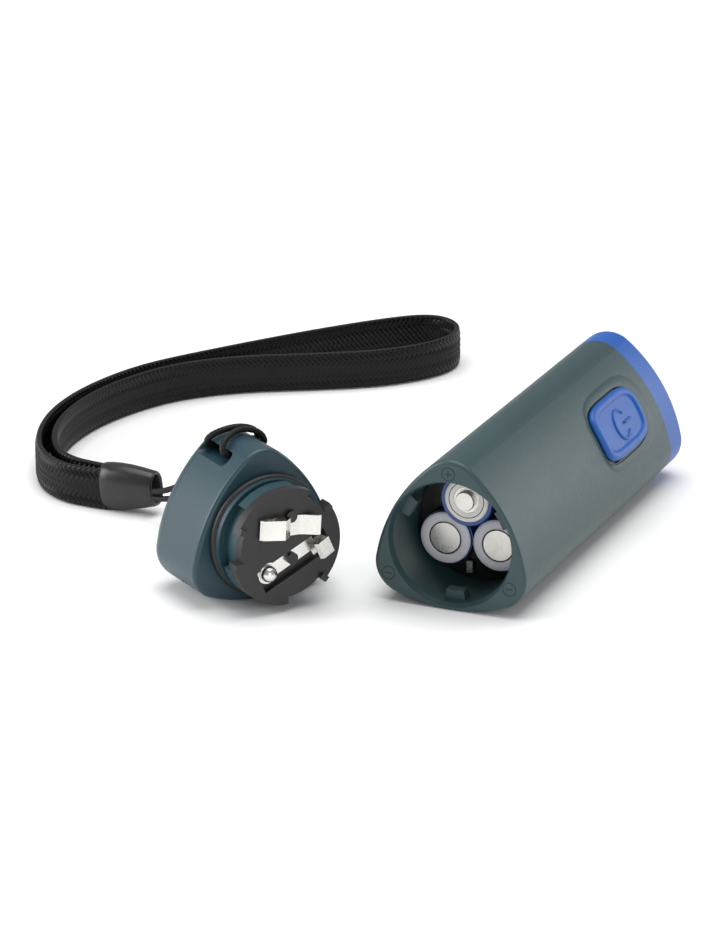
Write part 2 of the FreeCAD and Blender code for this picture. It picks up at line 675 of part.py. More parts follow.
def make_plate_contacts():
    """Two nickel-plated strips, each held by a black rivet, bent up into springs at their ends."""
    half = STRIP_THICKNESS / 2
    bridge = leaf([
        (-0.6, 1.1), (-2.2, 2.3), (-6.0, 1.1), (-6.4, half + 0.4), (-6.0, half), (2.0, half),
        (3.0, 0.5), (4.9, 1.7), (5.6, 1.8),
    ], STRIP_THICKNESS, BRIDGE_WIDTH)
    frame = on_plate(BRIDGE_MIDDLE, BRIDGE_TILT)
    placed("bridge_contact", bridge, frame)
    sunk = half - 1.1
    strip = Part.makeBox(11.3, STRIP_THICKNESS, TERMINAL_WIDTH,
                         Vector(-5.8, sunk - half, -TERMINAL_WIDTH / 2))
    tab = leaf([
        (4.4, sunk), (7.2, sunk), (7.5, 1.5), (5.2, 1.8), (4.7, 1.2),
    ], STRIP_THICKNESS, TAB_WIDTH)
    tab.translate(Vector(0, 0, TAB_SHIFT))
    dome = Part.makeSphere(DOME_RADIUS, Vector(DOME_AT, sunk + 0.6, 0))
    floor = Part.makeBox(4, 2, 4, Vector(DOME_AT - 2, sunk - 2, -2))
    ring = Part.makeCylinder(2.1, STRIP_THICKNESS, Vector(DOME_AT, sunk - half, 0), Vector(0, 1, 0))
    frame = on_plate(TERMINAL_MIDDLE, TERMINAL_TILT)
    whole = strip.fuse([tab, dome.cut(floor), ring]).removeSplitter()
    placed("terminal_contact", whole.Solids[0], frame)
    pins = []
    for middle, low, high in ((BRIDGE_MIDDLE, 0.31, 0.8), (TERMINAL_MIDDLE, -0.79, 0.1)):
        at = Vector(-middle[0], low, middle[1])
        pins.append(Part.makeCylinder(1.15, high - low, at, Vector(0, 1, 0)))
    placed("contact_rivets", Part.makeCompound(pins), cap_placement())


# ---------------------------------------------------------------- the lanyard
# Places are (right, back, up) from the point of the table under the middle of the mouth, in
# axes turned by LAY_TURN from the torch's own.
LAY_TURN = 23.5
CLASP_FROM, CLASP_TO = (-67.2, 55.8, 4.4), (-57.0, 50.9, 5.4)
# how far along the clasp each section is, and half its thickness and its height
CLASP_SECTIONS = ((0.0, 2.75, 4.3), (0.35, 3.0, 4.4), (0.75, 2.7, 3.8), (1.0, 2.2, 2.9))
STRAP_ROUTE = [
    (-69.8, 55.0), (-76.3, 58.6), (-81.0, 66.5), (-82.1, 79.0), (-79.8, 93.0), (-73.8, 106.5),
    (-63.5, 120.0), (-49.0, 130.2), (-27.0, 144.0), (-9.0, 153.2), (-0.5, 155.2), (4.4, 150.4),
    (4.6, 142.5), (-0.8, 135.5), (-12.0, 129.8), (-27.0, 127.4), (-41.5, 126.2), (-54.6, 121.6),
    (-63.6, 114.0), (-71.6, 103.6), (-76.9, 91.6), (-79.0, 79.4), (-78.0, 68.8), (-74.5, 62.0),
    (-68.5, 58.3),
]
# the thin cord, in the cap's own axes: (side, forward, up) from the middle of its contact plate
CORD_ROUTE = [
    (-1.9, -55.7, -6.9), (-2.2, -52.5, -6.0), (-3.3, -46.0, -2.6), (-4.9, -38.5, 2.8),
    (-6.9, -31.0, 9.2), (-7.9, -25.4, 12.2), (-6.9, -20.6, 13.6), (0.0, -15.8, 14.05),
    (5.0, -14.9, 14.0), (4.7, -16.2, 16.6), (0.0, -18.2, 18.0), (-4.7, -18.2, 16.6),
    (-5.8, -17.9, 14.0), (-5.8, -20.5, 14.0), (-4.7, -20.1, 16.6), (0.0, -19.6, 18.0),
    (4.7, -21.0, 16.6), (5.0, -22.3, 14.0), (0.0, -21.9, 14.0), (-6.7, -22.2, 13.8),
    (-8.3, -27.0, 10.6), (-7.4, -33.5, 3.6), (-6.2, -40.5, -2.6), (-4.2, -47.5, -6.0),
    (-2.6, -52.6, -7.7), (-2.0, -55.7, -8.4),
]


def laid(places):
    turn = FreeCAD.Rotation(Vector(0, 0, 1), LAY_TURN)
    mouth = Vector(0, size("mouth_y"), 0)
    return [mouth + turn.multVec(Vector(*place)) for place in places]


def make_wrist_strap():
    """Flat webbing on edge: both ends go into the clasp."""
    width, thickness = size("strap_width"), size("strap_thickness")
    path, radii = tangent_path(laid([(x, y, 0) for x, y in STRAP_ROUTE]))
    print("strap length", round(path.Length, 1), "radii", [round(r, 1) for r in radii])
    face = path.makeOffset2D(thickness / 2, join=2, fill=True, openResult=False)
    webbing = face.extrude(Vector(0, 0, width)).Solids[0]
    print("strap volume over its section times its length",
          round(webbing.Volume / (width * thickness * path.Length), 4))
    placed("wrist_strap", webbing)


def make_clasp():
    """A tapered oval ferrule that grips the webbing and lets the cord out of its narrow end."""
    start, end = laid([CLASP_FROM, CLASP_TO])
    axis = end - start
    sections = []
    for share, thick, tall in CLASP_SECTIONS:
        oval = Part.makeCircle(1.0)
        scaled = FreeCAD.Matrix()
        scaled.scale(thick, tall, 1.0)
        oval = Part.Wire(oval.transformGeometry(scaled).Edges)
        oval.translate(Vector(0, 0, share * axis.Length))
        sections.append(oval)
    ferrule = Part.makeLoft(sections, True)
    bore = Part.makeCylinder(1.8, axis.Length, Vector(0, 0, axis.Length - 4))
    upright = FreeCAD.Rotation(axis.cross(Vector(0, 0, -1)), Vector(), axis, "ZXY")
    placed("strap_clasp", ferrule.cut(bore), FreeCAD.Placement(start, upright))


def make_cord():
    """One thin cord: from the clasp, twice over the bar of the slot in a hitch, and back."""
    cap = cap_placement()
    points = [cap.multVec(Vector(*place)) for place in CORD_ROUTE]
    path, radii = tangent_path(points)
    radius = size("cord_diameter") / 2
    print("cord length", round(path.Length, 1), "radii", [round(r, 1) for r in radii])
    start = points[1] - points[0]
    section = Part.Wire(Part.makeCircle(radius, points[0], start))
    tube = path.makePipeShell([section], True, False)
    print("cord volume over its section times its length",
          round(tube.Volume / (math.pi * radius**2 * path.Length), 4))
    placed("wrist_cord", tube.Solids[0])


make_body_shell()
make_bezel()
make_head()
make_button()
make_switch()
make_battery_holder()
make_cells()
make_front_contacts()
make_tail_cap()
make_contact_plate()
make_plate_contacts()
make_wrist_strap()
make_clasp()
make_cord()
doc.recompute()

for thing in doc.Objects:
    if "Invalid" in thing.State or "Error" in thing.State:
        raise RuntimeError(f"{thing.Name} did not build: {thing.State}")
os.makedirs("parts", exist_ok=True)
for thing in PIECES:
    shape = thing.Shape
    if shape.isNull() or not shape.isValid() or not shape.Solids:
        raise RuntimeError(f"{thing.Label} has no valid shape")
    print(thing.Label, len(shape.Solids), round(shape.Volume, 1))
    shape.exportStep(f"parts/{thing.Label}.step")
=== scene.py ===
import json
import math

import bpy
from mathutils import Matrix, Vector


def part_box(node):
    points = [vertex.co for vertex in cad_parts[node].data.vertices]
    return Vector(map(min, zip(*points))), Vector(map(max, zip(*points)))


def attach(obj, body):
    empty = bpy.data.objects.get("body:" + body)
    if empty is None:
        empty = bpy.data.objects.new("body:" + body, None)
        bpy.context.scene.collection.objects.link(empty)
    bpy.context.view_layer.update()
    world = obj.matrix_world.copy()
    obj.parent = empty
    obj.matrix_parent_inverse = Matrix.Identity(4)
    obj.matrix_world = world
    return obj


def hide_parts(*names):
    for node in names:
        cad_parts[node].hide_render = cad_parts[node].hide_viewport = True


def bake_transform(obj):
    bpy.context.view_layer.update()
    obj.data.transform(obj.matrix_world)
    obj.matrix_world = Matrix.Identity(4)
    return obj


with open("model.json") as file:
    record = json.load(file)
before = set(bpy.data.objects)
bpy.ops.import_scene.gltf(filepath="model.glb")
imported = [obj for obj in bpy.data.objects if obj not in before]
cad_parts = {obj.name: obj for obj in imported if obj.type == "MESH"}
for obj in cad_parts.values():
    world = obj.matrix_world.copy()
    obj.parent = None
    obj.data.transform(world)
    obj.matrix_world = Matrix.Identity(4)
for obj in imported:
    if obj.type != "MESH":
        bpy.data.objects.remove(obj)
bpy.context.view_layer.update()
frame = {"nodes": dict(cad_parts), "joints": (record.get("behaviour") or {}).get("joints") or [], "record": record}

# Written measures are in millimetres, unless a comment names another unit. Places are in metres,
# as they are in the frame, once MM has turned a measure to metres.
MM = 0.001
UP = Vector((0, 0, 1))
JOINTS = {joint["name"]: joint for joint in frame["joints"]}

# The lanyard and the camera are placed in axes turned by LAY_TURN about the mouth.
LAY_TURN = 23.5  # degrees
plate_low, plate_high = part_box("front_contact_plate")
AXIS_HEIGHT = (plate_low.z + plate_high.z) / 2
MOUTH = Vector((0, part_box("body_shell")[0].y, AXIS_HEIGHT))
LAY = Matrix.Translation((0, MOUTH.y, 0)) @ Matrix.Rotation(math.radians(LAY_TURN), 4, "Z")

CAMERA_ELEVATION = 19.8  # degrees
CAMERA_DISTANCE, CAMERA_RISE, CAMERA_LEFT = 797, 15.15, 16.64
CAMERA_LENS, CAMERA_SENSOR = 166.35, 36.0

# The button's side: it faces SIDE_TURN above +X, and its arc's middle lies beyond the axis.
SIDE_TURN = math.radians(30)
SIDE_RADIUS, SIDE_MIDDLE = 32, -19


def make_camera():
    elevation = math.radians(CAMERA_ELEVATION)
    forward = Vector((0, math.cos(elevation), -math.sin(elevation)))
    upward = Vector((0, math.sin(elevation), math.cos(elevation)))
    reach = -forward * CAMERA_DISTANCE + upward * CAMERA_RISE - Vector((CAMERA_LEFT, 0, 0))
    place = Vector((0, 0, AXIS_HEIGHT)) + reach * MM
    turn = forward.to_track_quat("-Z", "Y").to_matrix().to_4x4()
    camera = bpy.data.objects.new("camera", bpy.data.cameras.new("camera"))
    camera.data.lens = CAMERA_LENS
    camera.data.sensor_width = CAMERA_SENSOR
    camera.data.clip_start = 0.05
    camera.data.clip_end = 20
    camera.matrix_world = LAY @ Matrix.Translation(place) @ turn
    bpy.context.scene.collection.objects.link(camera)
    bpy.context.scene.camera = camera


# ---------------------------------------------------------------- places
def laid(right, back, up):
    """A point given right, back and up from the table under the middle of the mouth."""
    return LAY @ (Vector((right, back, up)) * MM)


def side(station, across, proud):
    """A point on the bulging upper side that carries the button."""
    angle = SIDE_TURN + across / SIDE_RADIUS
    reach = SIDE_RADIUS + proud
    middle = Vector((SIDE_MIDDLE * math.cos(SIDE_TURN), 0, SIDE_MIDDLE * math.sin(SIDE_TURN)))
    spot = middle + Vector((reach * math.cos(angle), station, reach * math.sin(angle)))
    return MOUTH + spot * MM


def cap_frame():
    """The cap's own axes: y runs along its plug, from the middle of its contact plate."""
    twist = JOINTS["cap_twist"]
    plug = Vector(twist["axis"])
    turn = Matrix.Rotation(math.atan2(-plug.x, plug.y), 4, "Z")
    return Matrix.Translation(twist["pos_m"]) @ turn


CAP = cap_frame()


def on_cap(sideways, forward, up):
    return CAP @ (Vector((sideways, forward, up)) * MM)


def cell_frame(node):
    """Axes at the middle of a cell's end, with y running into the cell."""
    low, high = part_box(node)
    return Matrix.Translation(((low.x + high.x) / 2, low.y, (low.z + high.z) / 2))


# ---------------------------------------------------------------- mesh helpers
def angles(count):
    return [2 * math.pi * k / count for k in range(count)]


def unit_oval(count, power_x, power_y):
    """Points round a unit oval. The smaller a power, the blunter that pair of sides."""
    points = []
    for angle in angles(count):
        x, y = math.cos(angle), math.sin(angle)
        points.append((math.copysign(abs(x) ** power_x, x), math.copysign(abs(y) ** power_y, y)))
    return points


def finish_mesh(name, mesh, material):
    piece = bpy.data.objects.new(name, mesh)
    bpy.context.scene.collection.objects.link(piece)
    mesh.materials.append(material)
    for face in mesh.polygons:
        face.use_smooth = True
    return piece


def skin(name, rings, material, ends=True):
    """A surface through closed rings of equally many points. Its ends are filled, or left open."""
    count = len(rings[0])
    last = (len(rings) - 1) * count
    faces = []
    for low in range(0, last, count):
        for k in range(count):
            after = (k + 1) % count
            faces.append((low + k, low + after, low + count + after, low + count + k))
    if ends:
        faces.append(tuple(reversed(range(count))))
        faces.append(tuple(range(last, last + count)))
    mesh = bpy.data.meshes.new(name)
    mesh.from_pydata([tuple(point) for ring in rings for point in ring], [], faces)
    mesh.update()
    return finish_mesh(name, mesh, material)


def lathe(name, axes, profile, material, steps=64):
    """Rings of (radius, along) turned about the y axis of some axes, open at both ends."""
    rings = [
        [axes @ (Vector((radius * math.cos(a), along, radius * math.sin(a))) * MM)
         for a in angles(steps)]
        for radius, along in profile
    ]
    return skin(name, rings, material, ends=False)


def settle(piece, body, slot, *nodes):
    """The piece rides on a body and stands for CAD nodes, if any, which it hides. The slot is not used."""
    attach(piece, body)
    if nodes:
        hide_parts(*nodes)
    return piece


# ---------------------------------------------------------------- lines for the lanyard
def distances(line):
    """How far along a line each of its points is."""
    far = [0.0]
    for a, b in zip(line, line[1:]):
        far.append(far[-1] + (b - a).length)
    return far


def tangents(line):
    last = len(line) - 1
    return [(line[min(k + 1, last)] - line[max(k - 1, 0)]).normalized() for k in range(last + 1)]


def nurbs_points(route):
    """The points of the smooth curve that a route's points steer."""
    data = bpy.data.curves.new("route", "CURVE")
    data.dimensions = "3D"
    data.resolution_u = 24
    spline = data.splines.new("NURBS")
    spline.points.add(len(route) - 1)
    for place, point in zip(spline.points, route):
        place.co = (*point, 1)
    spline.order_u = 3
    spline.use_endpoint_u = True
    holder = bpy.data.objects.new("route", data)
    bpy.context.scene.collection.objects.link(holder)
    bpy.context.view_layer.update()
    mesh = bpy.data.meshes.new_from_object(holder)
    points = [vertex.co.copy() for vertex in mesh.vertices]
    bpy.data.objects.remove(holder)
    bpy.data.meshes.remove(mesh)
    return points


def nurbs_line(route, step):
    """The same curve as evenly spaced points."""
    points = nurbs_points(route)
    far = distances(points)
    count = round(far[-1] / step)
    line, k = [], 0
    for number in range(count + 1):
        at = far[-1] * number / count
        while k < len(far) - 2 and far[k + 1] < at:
            k += 1
        share = (at - far[k]) / (far[k + 1] - far[k])
        line.append(points[k].lerp(points[k + 1], min(max(share, 0), 1)))
    return line


# ---------------------------------------------------------------- material helpers
def shader(name, **values):
    """A new material, with constants set on its shader's own sockets."""
    material = bpy.data.materials.new(name)
    material.use_nodes = True
    principled = material.node_tree.nodes["Principled BSDF"]
    for socket, value in values.items():
        principled.inputs[socket.replace("_", " ")].default_value = value
    return material, principled


def noise(material, scale, stretch=(1, 1, 1)):
    nodes, links = material.node_tree.nodes, material.node_tree.links
    where = nodes.new("ShaderNodeTexCoord")
    placed = nodes.new("ShaderNodeMapping")
    placed.inputs["Scale"].default_value = stretch
    grain = nodes.new("ShaderNodeTexNoise")
    grain.inputs["Scale"].default_value = scale
    grain.inputs["Detail"].default_value = 4.0
    grain.inputs["Roughness"].default_value = 0.55
    links.new(where.outputs["Object"], placed.inputs["Vector"])
    links.new(placed.outputs["Vector"], grain.inputs["Vector"])
    return grain.outputs["Fac"]


def tint(material, principled, fac, dark, light, low=0.35, high=0.65):
    """A base colour that wanders between two shades."""
    nodes, links = material.node_tree.nodes, material.node_tree.links
    ramp = nodes.new("ShaderNodeValToRGB")
    for element, at, colour in zip(ramp.color_ramp.elements, (low, high), (dark, light)):
        element.position = at
        element.color = (*colour, 1)
    links.new(fac, ramp.inputs["Fac"])
    links.new(ramp.outputs["Color"], principled.inputs["Base Color"])


def vary_roughness(material, principled, fac, low, high):
    nodes, links = material.node_tree.nodes, material.node_tree.links
    spread = nodes.new("ShaderNodeMapRange")
    spread.inputs["From Min"].default_value = 0.3
    spread.inputs["From Max"].default_value = 0.7
    spread.inputs["To Min"].default_value = low
    spread.inputs["To Max"].default_value = high
    links.new(fac, spread.inputs["Value"])
    links.new(spread.outputs["Result"], principled.inputs["Roughness"])


def bump(material, principled, fac, strength, depth):
    nodes, links = material.node_tree.nodes, material.node_tree.links
    ridge = nodes.new("ShaderNodeBump")
    ridge.inputs["Strength"].default_value = strength
    ridge.inputs["Distance"].default_value = depth * MM
    links.new(fac, ridge.inputs["Height"])
    links.new(ridge.outputs["Normal"], principled.inputs["Normal"])


def moulded(name, dark, light, rough, grain=2600, depth=0.04, strength=0.35, **values):
    """Moulded plastic: fine spark-eroded grain, and a slow change of colour and gloss."""
    material, principled = shader(name, **values)
    tint(material, principled, noise(material, 45), dark, light, 0.2, 0.8)
    vary_roughness(material, principled, noise(material, 900), rough - 0.03, rough + 0.03)
    bump(material, principled, noise(material, grain), strength, depth)
    return material


def metal(name, dark, light, rough, stretch=(1, 1, 14)):
    """Plated or brushed metal with fine drawn lines."""
    material, principled = shader(name, Metallic=1.0)
    tint(material, principled, noise(material, 120), dark, light)
    lines = noise(material, 700, stretch)
    vary_roughness(material, principled, lines, rough - 0.06, rough + 0.08)
    bump(material, principled, lines, 0.05, 0.01)
    return material


# ---------------------------------------------------------------- materials
def teal_shell():
    return moulded("teal_shell", (0.020, 0.050, 0.056), (0.027, 0.060, 0.067), 0.42,
                   Specular_IOR_Level=0.5)


def teal_cap():
    return moulded("teal_cap", (0.014, 0.044, 0.058), (0.020, 0.054, 0.070), 0.38,
                   Specular_IOR_Level=0.5)


def blue_trim():
    return moulded("blue_trim", (0.004, 0.078, 0.34), (0.007, 0.096, 0.40), 0.40,
                   Specular_IOR_Level=0.45)


# Painted shade: a near-black teal for the engraved polarity marks, standing for the shade inside their grooves.
def painted_engraving_shade():
    return moulded("painted_engraving_shade", (0.006, 0.012, 0.014), (0.010, 0.018, 0.020), 0.6)


def charcoal_plastic():
    return moulded("charcoal_plastic", (0.014, 0.013, 0.0145), (0.020, 0.018, 0.020), 0.42)


def black_plastic():
    return moulded("black_plastic", (0.004, 0.004, 0.0045), (0.007, 0.007, 0.0075), 0.22)


def clear_lens():
    material, principled = shader("clear_lens", Roughness=0.03, IOR=1.49, Transmission_Weight=1.0)
    tint(material, principled, noise(material, 30), (0.93, 0.96, 0.97), (0.96, 0.98, 0.99))
    bump(material, principled, noise(material, 300), 0.02, 0.01)
    return material


def chrome_reflector():
    return metal("chrome_reflector", (0.86, 0.86, 0.87), (0.93, 0.93, 0.93), 0.14)


def nickel():
    return metal("nickel", (0.70, 0.69, 0.65), (0.80, 0.79, 0.75), 0.24)


def steel():
    return metal("steel", (0.50, 0.50, 0.50), (0.64, 0.64, 0.63), 0.34)


def cell_steel():
    return metal("cell_steel", (0.56, 0.55, 0.52), (0.74, 0.72, 0.68), 0.3, stretch=(14, 1, 1))


def aluminium():
    return metal("aluminium", (0.68, 0.69, 0.70), (0.80, 0.81, 0.82), 0.4)


def cell_wrap():
    return moulded("cell_wrap", (0.004, 0.045, 0.21), (0.007, 0.06, 0.26), 0.22, grain=500,
                   depth=0.05, strength=0.2, Coat_Weight=0.3)


def cell_rim():
    return moulded("cell_rim", (0.60, 0.60, 0.66), (0.66, 0.66, 0.71), 0.36)


def cell_ring():
    return moulded("cell_ring", (0.72, 0.71, 0.68), (0.82, 0.81, 0.78), 0.45)


def board():
    return moulded("board", (0.01, 0.12, 0.05), (0.02, 0.17, 0.07), 0.35)


def white_board():
    return moulded("white_board", (0.78, 0.78, 0.75), (0.86, 0.86, 0.84), 0.4)


def led():
    return moulded("led", (0.75, 0.62, 0.12), (0.85, 0.76, 0.25), 0.3)


def component():
    return moulded("component", (0.02, 0.02, 0.02), (0.035, 0.035, 0.035), 0.5)


def black_rubber():
    return moulded("black_rubber", (0.004, 0.004, 0.0045), (0.008, 0.008, 0.0085), 0.5)


def webbing():
    return moulded("webbing", (0.0015, 0.0015, 0.0016), (0.005, 0.005, 0.0052), 0.38, grain=1800,
                   depth=0.06, strength=0.5, Specular_IOR_Level=0.22)


def cord_braid():
    return moulded("cord", (0.005, 0.005, 0.0055), (0.010, 0.010, 0.0105), 0.5,
                   depth=0.06, strength=0.5, Specular_IOR_Level=0.22)


def clasp_plastic():
    return moulded("clasp", (0.012, 0.012, 0.013), (0.017, 0.017, 0.018), 0.30,
                   Specular_IOR_Level=0.45)


def floor_paint():
    return moulded("floor", (0.90, 0.90, 0.90), (0.92, 0.92, 0.92), 0.8, grain=300, strength=0.05)


MAKERS = {
    "teal_shell": teal_shell, "teal_cap": teal_cap, "blue_trim": blue_trim,
    "charcoal_plastic": charcoal_plastic, "black_plastic": black_plastic,
    "clear_lens": clear_lens, "chrome_reflector": chrome_reflector, "nickel": nickel,
    "steel": steel, "cell_steel": cell_steel, "cell_wrap": cell_wrap, "aluminium": aluminium,
    "board": board, "white_board": white_board, "led": led, "component": component,
    "black_rubber": black_rubber, "webbing": webbing, "cord": cord_braid, "clasp": clasp_plastic,
}
MADE = {}


def look(slot):
    """The material of a slot, made once."""
    if slot not in MADE:
        MADE[slot] = MAKERS[slot]()
    return MADE[slot]


def dress_cad():
    """Every carried-over CAD part takes the material of its own slot."""
    for part in frame["record"]["subparts"]:
        mesh = frame["nodes"][part["node"]].data
        mesh.materials.clear()
        mesh.materials.append(look(part["material_slot"]))


# ---------------------------------------------------------------- the lanyard
# (right, back) of the webbing's points on the table
STRAP_ROUTE = [
    (-66.9, 54.0), (-69.8, 55.0), (-76.3, 58.6), (-81.0, 66.5), (-82.1, 79.0), (-79.8, 93.0),
    (-73.8, 106.5), (-63.5, 120.0), (-49.0, 130.2), (-27.0, 144.0), (-9.0, 153.2), (-0.5, 155.2),
    (4.4, 150.4), (4.6, 142.5), (-0.8, 135.5), (-12.0, 129.8), (-27.0, 127.4), (-41.5, 126.2),
    (-54.6, 121.6), (-63.6, 114.0), (-71.6, 103.6), (-76.9, 91.6), (-79.0, 79.4), (-78.0, 68.8),
    (-74.5, 62.0), (-68.5, 58.3), (-66.0, 57.0),
]
# the thin cord's points, in the cap's own axes
CORD_ROUTE = [
    (-1.9, -55.7, -6.9), (-2.2, -52.5, -6.0), (-3.3, -46.0, -2.6), (-4.9, -38.5, 2.8),
    (-6.9, -31.0, 9.2), (-7.9, -25.4, 12.2), (-6.9, -20.6, 13.6), (0.0, -15.8, 14.05),
    (5.0, -14.9, 14.0), (4.7, -16.2, 16.6), (0.0, -18.2, 18.0), (-4.7, -18.2, 16.6),
    (-5.8, -17.9, 14.0), (-5.8, -20.5, 14.0), (-4.7, -20.1, 16.6), (0.0, -19.6, 18.0),
    (4.7, -21.0, 16.6), (5.0, -22.3, 14.0), (0.0, -21.9, 14.0), (-6.7, -22.2, 13.8),
    (-8.3, -27.0, 10.6), (-7.4, -33.5, 3.6), (-6.2, -40.5, -2.6), (-4.2, -47.5, -6.0),
    (-2.6, -52.6, -7.7), (-2.0, -55.7, -8.4),
]
LINE_STEP = 0.16 * MM

STRAP_THIN, STRAP_TALL = 0.9, 4.1  # half the webbing's thickness and half its width
STRAP_AROUND, STRAP_BLUNT = 84, (0.42, 0.72)
RIB_PITCH, RIB_SLANT, RIB_DEPTH = 1.15, 1.3, 0.42
COLUMN_WIDTH, COLUMN_EDGE = 1.37, 0.35  # the second is the share of a rib left at the edges
EDGE_DEPTH = 0.04  # how much higher the webbing's edge is between its ribs

CLASP_START, CLASP_END = laid(-67.2, 55.8, 4.4), laid(-57.0, 50.9, 5.4)
# (along, half its thickness, half its height), from inside its mouth round to inside its tip
CLASP_SECTIONS = [
    (2.6, 1.7, 3.6), (1.2, 1.9, 3.95), (0.2, 2.1, 4.15), (-0.15, 2.4, 4.35),
    (0.15, 2.75, 4.6), (0.7, 2.95, 4.72), (2.2, 3.1, 4.78), (4.0, 3.15, 4.7),
    (6.0, 3.1, 4.5), (8.2, 2.95, 4.15), (10.2, 2.75, 3.75), (11.2, 2.65, 3.55),
    (11.6, 2.5, 3.4), (11.75, 2.25, 3.15), (11.6, 2.0, 2.9), (11.2, 1.85, 2.75),
    (9.6, 1.6, 2.4), (8.4, 1.2, 1.9),
]
CLASP_AROUND, CLASP_BLUNT = 64, (0.8, 0.86)

CORD_RADIUS, BRAID_DEPTH = 0.59, 0.045
BRAID_STRANDS, BRAID_TWIST = 4, 4.2
CORD_AROUND = 16


def weave(far, high):
    """How proud a herringbone rib is, from 0 to 1, at a place on the webbing."""
    column = abs((high * STRAP_TALL / COLUMN_WIDTH + 0.5) % 2.0 - 1.0)
    rib = 0.5 + 0.5 * math.sin(2 * math.pi * (far / RIB_PITCH + column * RIB_SLANT))
    return rib * (COLUMN_EDGE + (1 - COLUMN_EDGE) * math.sin(math.pi * column) ** 0.5)


def make_strap():
    """Webbing on edge, woven in narrow herringbone columns."""
    line = nurbs_line([laid(x, y, STRAP_TALL) for x, y in STRAP_ROUTE], LINE_STEP)
    section = unit_oval(STRAP_AROUND, *STRAP_BLUNT)
    rings = []
    for spot, along, far in zip(line, tangents(line), distances(line)):
        across = UP.cross(along).normalized()
        ring = []
        for flat, high in section:
            rib = weave(far / MM, high)
            thin = flat * STRAP_THIN * (1 - RIB_DEPTH * (1 - rib) * abs(flat))
            ring.append(spot + (across * thin + UP * high * (STRAP_TALL - EDGE_DEPTH * rib)) * MM)
        rings.append(ring)
    strap = skin("strap_webbing", rings, look("webbing"))
    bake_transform(strap)
    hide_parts("wrist_strap")
    return strap, line


def make_clasp():
    """An oval ferrule with a pocket at each end, for the webbing and for the cord."""
    axis = (CLASP_END - CLASP_START).normalized()
    across = UP.cross(axis).normalized()
    up = axis.cross(across)
    section = unit_oval(CLASP_AROUND, *CLASP_BLUNT)
    rings = [
        [CLASP_START + (axis * along - across * x * thick + up * z * high) * MM
         for x, z in section]
        for along, thick, high in CLASP_SECTIONS
    ]
    clasp = skin("clasp_ferrule", rings, look("clasp"))
    return settle(clasp, "lanyard", "clasp", "strap_clasp")


def make_cord():
    """A thin braided cord, hitched round the bar of the cap's slot."""
    line = nurbs_line([on_cap(*place) for place in CORD_ROUTE], LINE_STEP)
    rings, across = [], UP
    for spot, along, far in zip(line, tangents(line), distances(line)):
        across = (across - along * across.dot(along)).normalized()
        other = along.cross(across)
        twist = far / MM * BRAID_TWIST
        ring = []
        for angle in angles(CORD_AROUND):
            strand = BRAID_STRANDS * angle
            braid = math.sin(strand + twist) * math.sin(strand - twist)
            radius = CORD_RADIUS + BRAID_DEPTH * braid
            ring.append(spot + (across * math.cos(angle) + other * math.sin(angle)) * radius * MM)
        rings.append(ring)
    cord = skin("wrist_cord_braid", rings, look("cord"))
    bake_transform(cord)
    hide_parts("wrist_cord")
    return cord, line


def declare_cords():
    """The webbing, its clasp and the cord, each cord made along its own line."""
    strap, strap_line = make_strap()
    clasp = make_clasp()
    cord, cord_line = make_cord()


# ---------------------------------------------------------------- the button
BUTTON_STATION = 59.3
BUTTON_ALONG, BUTTON_ACROSS, BUTTON_BLUNT = 10.95, 5.85, 4.0
# (inset, proud) from inside its underside, over its rim and down to its panel
BUTTON_STEPS = [
    (5.6, -0.05), (3.0, -0.05), (0.0, -0.05), (0.0, 0.35), (0.08, 0.7), (0.25, 0.93),
    (0.55, 1.07), (0.95, 1.1), (1.35, 1.05), (1.6, 0.9), (1.75, 0.72), (1.95, 0.64),
    (2.3, 0.62), (4.0, 0.62), (5.6, 0.62),
]
# (half its length, half its width, bluntness, middle, proud) of the field round the button
SURROUND_STEPS = [
    (11.35, 6.25, 4.0, 59.3, -0.4), (11.4, 6.3, 4.0, 59.3, 0.12), (11.7, 6.5, 4.0, 59.4, 0.2),
    (12.6, 7.2, 3.3, 60.3, 0.2), (13.5, 8.0, 3.3, 61.0, 0.14), (14.1, 8.5, 3.4, 61.3, -0.05),
]
SURROUND_ACROSS = -0.2
SIGN_STATION, SIGN_ACROSS, SIGN_RADIUS = 59.6, -0.4, 2.9
SIGN_OPENING, SIGN_STEPS = 38, 48  # half the ring's gap in degrees, and its steps
SIGN_BAR = (60.7, 62.0, 64.0)
SIGN_TUBE, SIGN_PROUD = 0.3, 0.66
OVAL_AROUND, SIGN_AROUND = 72, 12


def side_oval(station, middle, along, across, blunt, proud):
    """A blunt oval that lies on the button's side."""
    return [side(station + x * along, middle + y * across, proud)
            for x, y in unit_oval(OVAL_AROUND, 2 / blunt, 2 / blunt)]


def make_button():
    """The button: a wall, a rounded rim and a sunken panel."""
    rings = [
        side_oval(BUTTON_STATION, 0, BUTTON_ALONG - inset, BUTTON_ACROSS - inset, BUTTON_BLUNT,
                  proud)
        for inset, proud in BUTTON_STEPS
    ]
    button = skin("button_cap", rings, look("blue_trim"))
    settle(button, "power_button", "blue_trim", "power_button")


def raised_line(name, spots):
    """A half-sunk tube through (station, across) places on the button's panel."""
    points = [side(station, across, SIGN_PROUD) for station, across in spots]
    out = Vector((math.cos(SIDE_TURN), 0, math.sin(SIDE_TURN)))
    rings = []
    for spot, along in zip(points, tangents(points)):
        other = along.cross(out).normalized()
        rings.append([spot + (out * math.sin(a) + other * math.cos(a)) * SIGN_TUBE * MM
                      for a in angles(SIGN_AROUND)])
    settle(skin(name, rings, look("blue_trim")), "power_button", "blue_trim")


